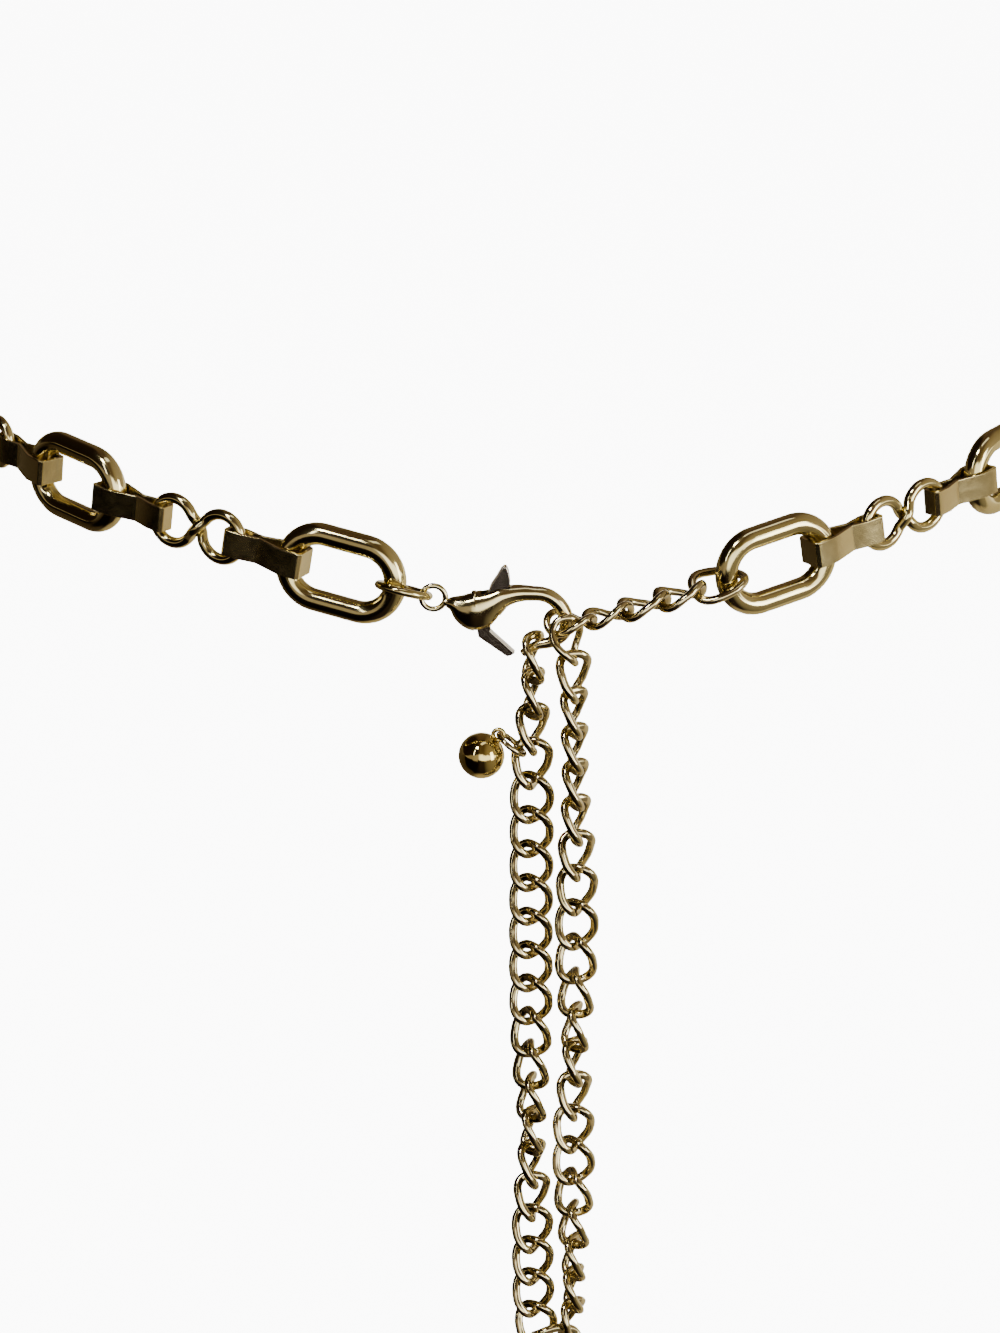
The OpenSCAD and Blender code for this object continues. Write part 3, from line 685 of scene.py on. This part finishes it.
def backdrop(radius=7):
    """A pale shell round the stage, seen only past the floor's edge: it neither lights nor shows in the metal."""
    verts, faces = sphere(np.zeros(3), radius, (0, 0, 1), 16, 32)
    mesh = bpy.data.meshes.new("backdrop")
    mesh.from_pydata([tuple(v) for v in verts], [], faces)
    obj = bpy.data.objects.new("backdrop", mesh)
    bpy.context.scene.collection.objects.link(obj)
    m = bpy.data.materials.new("pale_backdrop")
    m.use_nodes = True
    bsdf = m.node_tree.nodes["Principled BSDF"]
    bsdf.inputs["Base Color"].default_value = (0, 0, 0, 1)
    bsdf.inputs["Emission Color"].default_value = (1, 1, 1, 1)
    bsdf.inputs["Emission Strength"].default_value = 9
    mesh.materials.append(m)
    obj.visible_glossy = obj.visible_diffuse = obj.visible_shadow = obj.visible_transmission = False


def soft_box(name, place, aim, width, height, power, colour=(1, 1, 1)):
    light = bpy.data.lights.new(name, "AREA")
    light.shape, light.size, light.size_y, light.energy, light.color = "RECTANGLE", width, height, power, colour
    obj = bpy.data.objects.new(name, light)
    obj.location = place
    obj.rotation_euler = (Vector(aim) - Vector(place)).to_track_quat("-Z", "Y").to_euler()
    bpy.context.scene.collection.objects.link(obj)


def world():
    """A room as polished metal sees it, in bands from the front over the top to the back and below."""
    w = bpy.data.worlds.new("studio")
    w.use_nodes = True
    nodes, links = w.node_tree.nodes, w.node_tree.links
    coord = nodes.new("ShaderNodeTexCoord")
    axes = nodes.new("ShaderNodeSeparateXYZ")
    links.new(coord.outputs["Generated"], axes.inputs["Vector"])
    noise = nodes.new("ShaderNodeTexNoise")
    noise.inputs["Scale"].default_value, noise.inputs["Detail"].default_value = 2.2, 2
    links.new(coord.outputs["Generated"], noise.inputs["Vector"])

    def step(operation, first, second, third=None):
        node = nodes.new("ShaderNodeMath")
        node.operation = operation
        for socket, value in zip(node.inputs, (first, second, third)):
            if isinstance(value, (int, float)):
                socket.default_value = value
            elif value is not None:
                links.new(value, socket)
        return node.outputs[0]

    def ramp(value, stops):
        node = nodes.new("ShaderNodeValToRGB")
        for position, colour in stops[1:-1]:
            node.color_ramp.elements.new(position).color = (*colour, 1)
        for end, (position, colour) in ((0, stops[0]), (-1, stops[-1])):
            node.color_ramp.elements[end].position, node.color_ramp.elements[end].color = position, (*colour, 1)
        links.new(value, node.inputs["Fac"])
        return node.outputs["Color"]

    turn = step("ARCTAN2", axes.outputs["Z"], step("MULTIPLY", axes.outputs["Y"], -1))
    share = step("MULTIPLY_ADD", turn, 0.5 / math.pi, 0.5)
    wobbly = step("ADD", share, step("MULTIPLY_ADD", noise.outputs["Fac"], 0.09, -0.045))
    bands_of_light = ramp(wobbly, BANDS_OF_LIGHT)
    side = step("MULTIPLY_ADD", axes.outputs["X"], 0.5, 0.5)
    sides_of_light = ramp(step("ADD", side, step("MULTIPLY_ADD", noise.outputs["Fac"], 0.16, -0.08)), SIDES_OF_LIGHT)
    mixed = nodes.new("ShaderNodeMix")
    mixed.data_type, mixed.blend_type = "RGBA", "MULTIPLY"
    mixed.inputs["Factor"].default_value = 1
    links.new(bands_of_light, mixed.inputs["A"])
    links.new(sides_of_light, mixed.inputs["B"])
    lifted = nodes.new("ShaderNodeMix")
    lifted.data_type, lifted.blend_type = "RGBA", "ADD"
    lifted.inputs["Factor"].default_value = 1
    links.new(mixed.outputs["Result"], lifted.inputs["A"])
    links.new(ramp(side, PALE_WALL), lifted.inputs["B"])
    links.new(lifted.outputs["Result"], nodes["Background"].inputs["Color"])
    nodes["Background"].inputs["Strength"].default_value = 3.0
    bpy.context.scene.world = w


def sun(name, energy, angle, lean, seen_in_metal):
    light = bpy.data.lights.new(name, "SUN")
    light.energy, light.angle = energy, math.radians(angle)
    obj = bpy.data.objects.new(name, light)
    obj.rotation_euler = (math.radians(lean[0]), math.radians(lean[1]), 0)
    obj.visible_glossy = seen_in_metal
    bpy.context.scene.collection.objects.link(obj)


def camera():
    cam = bpy.data.cameras.new("camera")
    cam.sensor_fit, cam.sensor_height, cam.sensor_width = "VERTICAL", 36, 36 * 1000 / 1333
    cam.lens = 3400 / 1333 * 36
    cam.clip_start = 0.01
    obj = bpy.data.objects.new("camera", cam)
    obj.location = (-0.0012, -0.5304, 0.0790)
    obj.rotation_euler = (math.radians(72), 0, 0)
    bpy.context.scene.collection.objects.link(obj)
    bpy.context.scene.camera = obj


floor()
backdrop()
world()
camera()
sun("high_window", 1.2, 12, (28, -22), True)
sun("floor_wash", 36, 60, (0, 0), False)
soft_box("top", (0.15, -0.25, 0.95), (0, -0.1, 0), 0.5, 0.2, 0.5)
soft_box("right", (0.9, -0.75, 0.1), (0, -0.1, 0), 0.3, 0.7, 5)
soft_box("left", (-0.65, -0.9, 0.5), (0, -0.1, 0), 0.06, 0.5, 1.0)
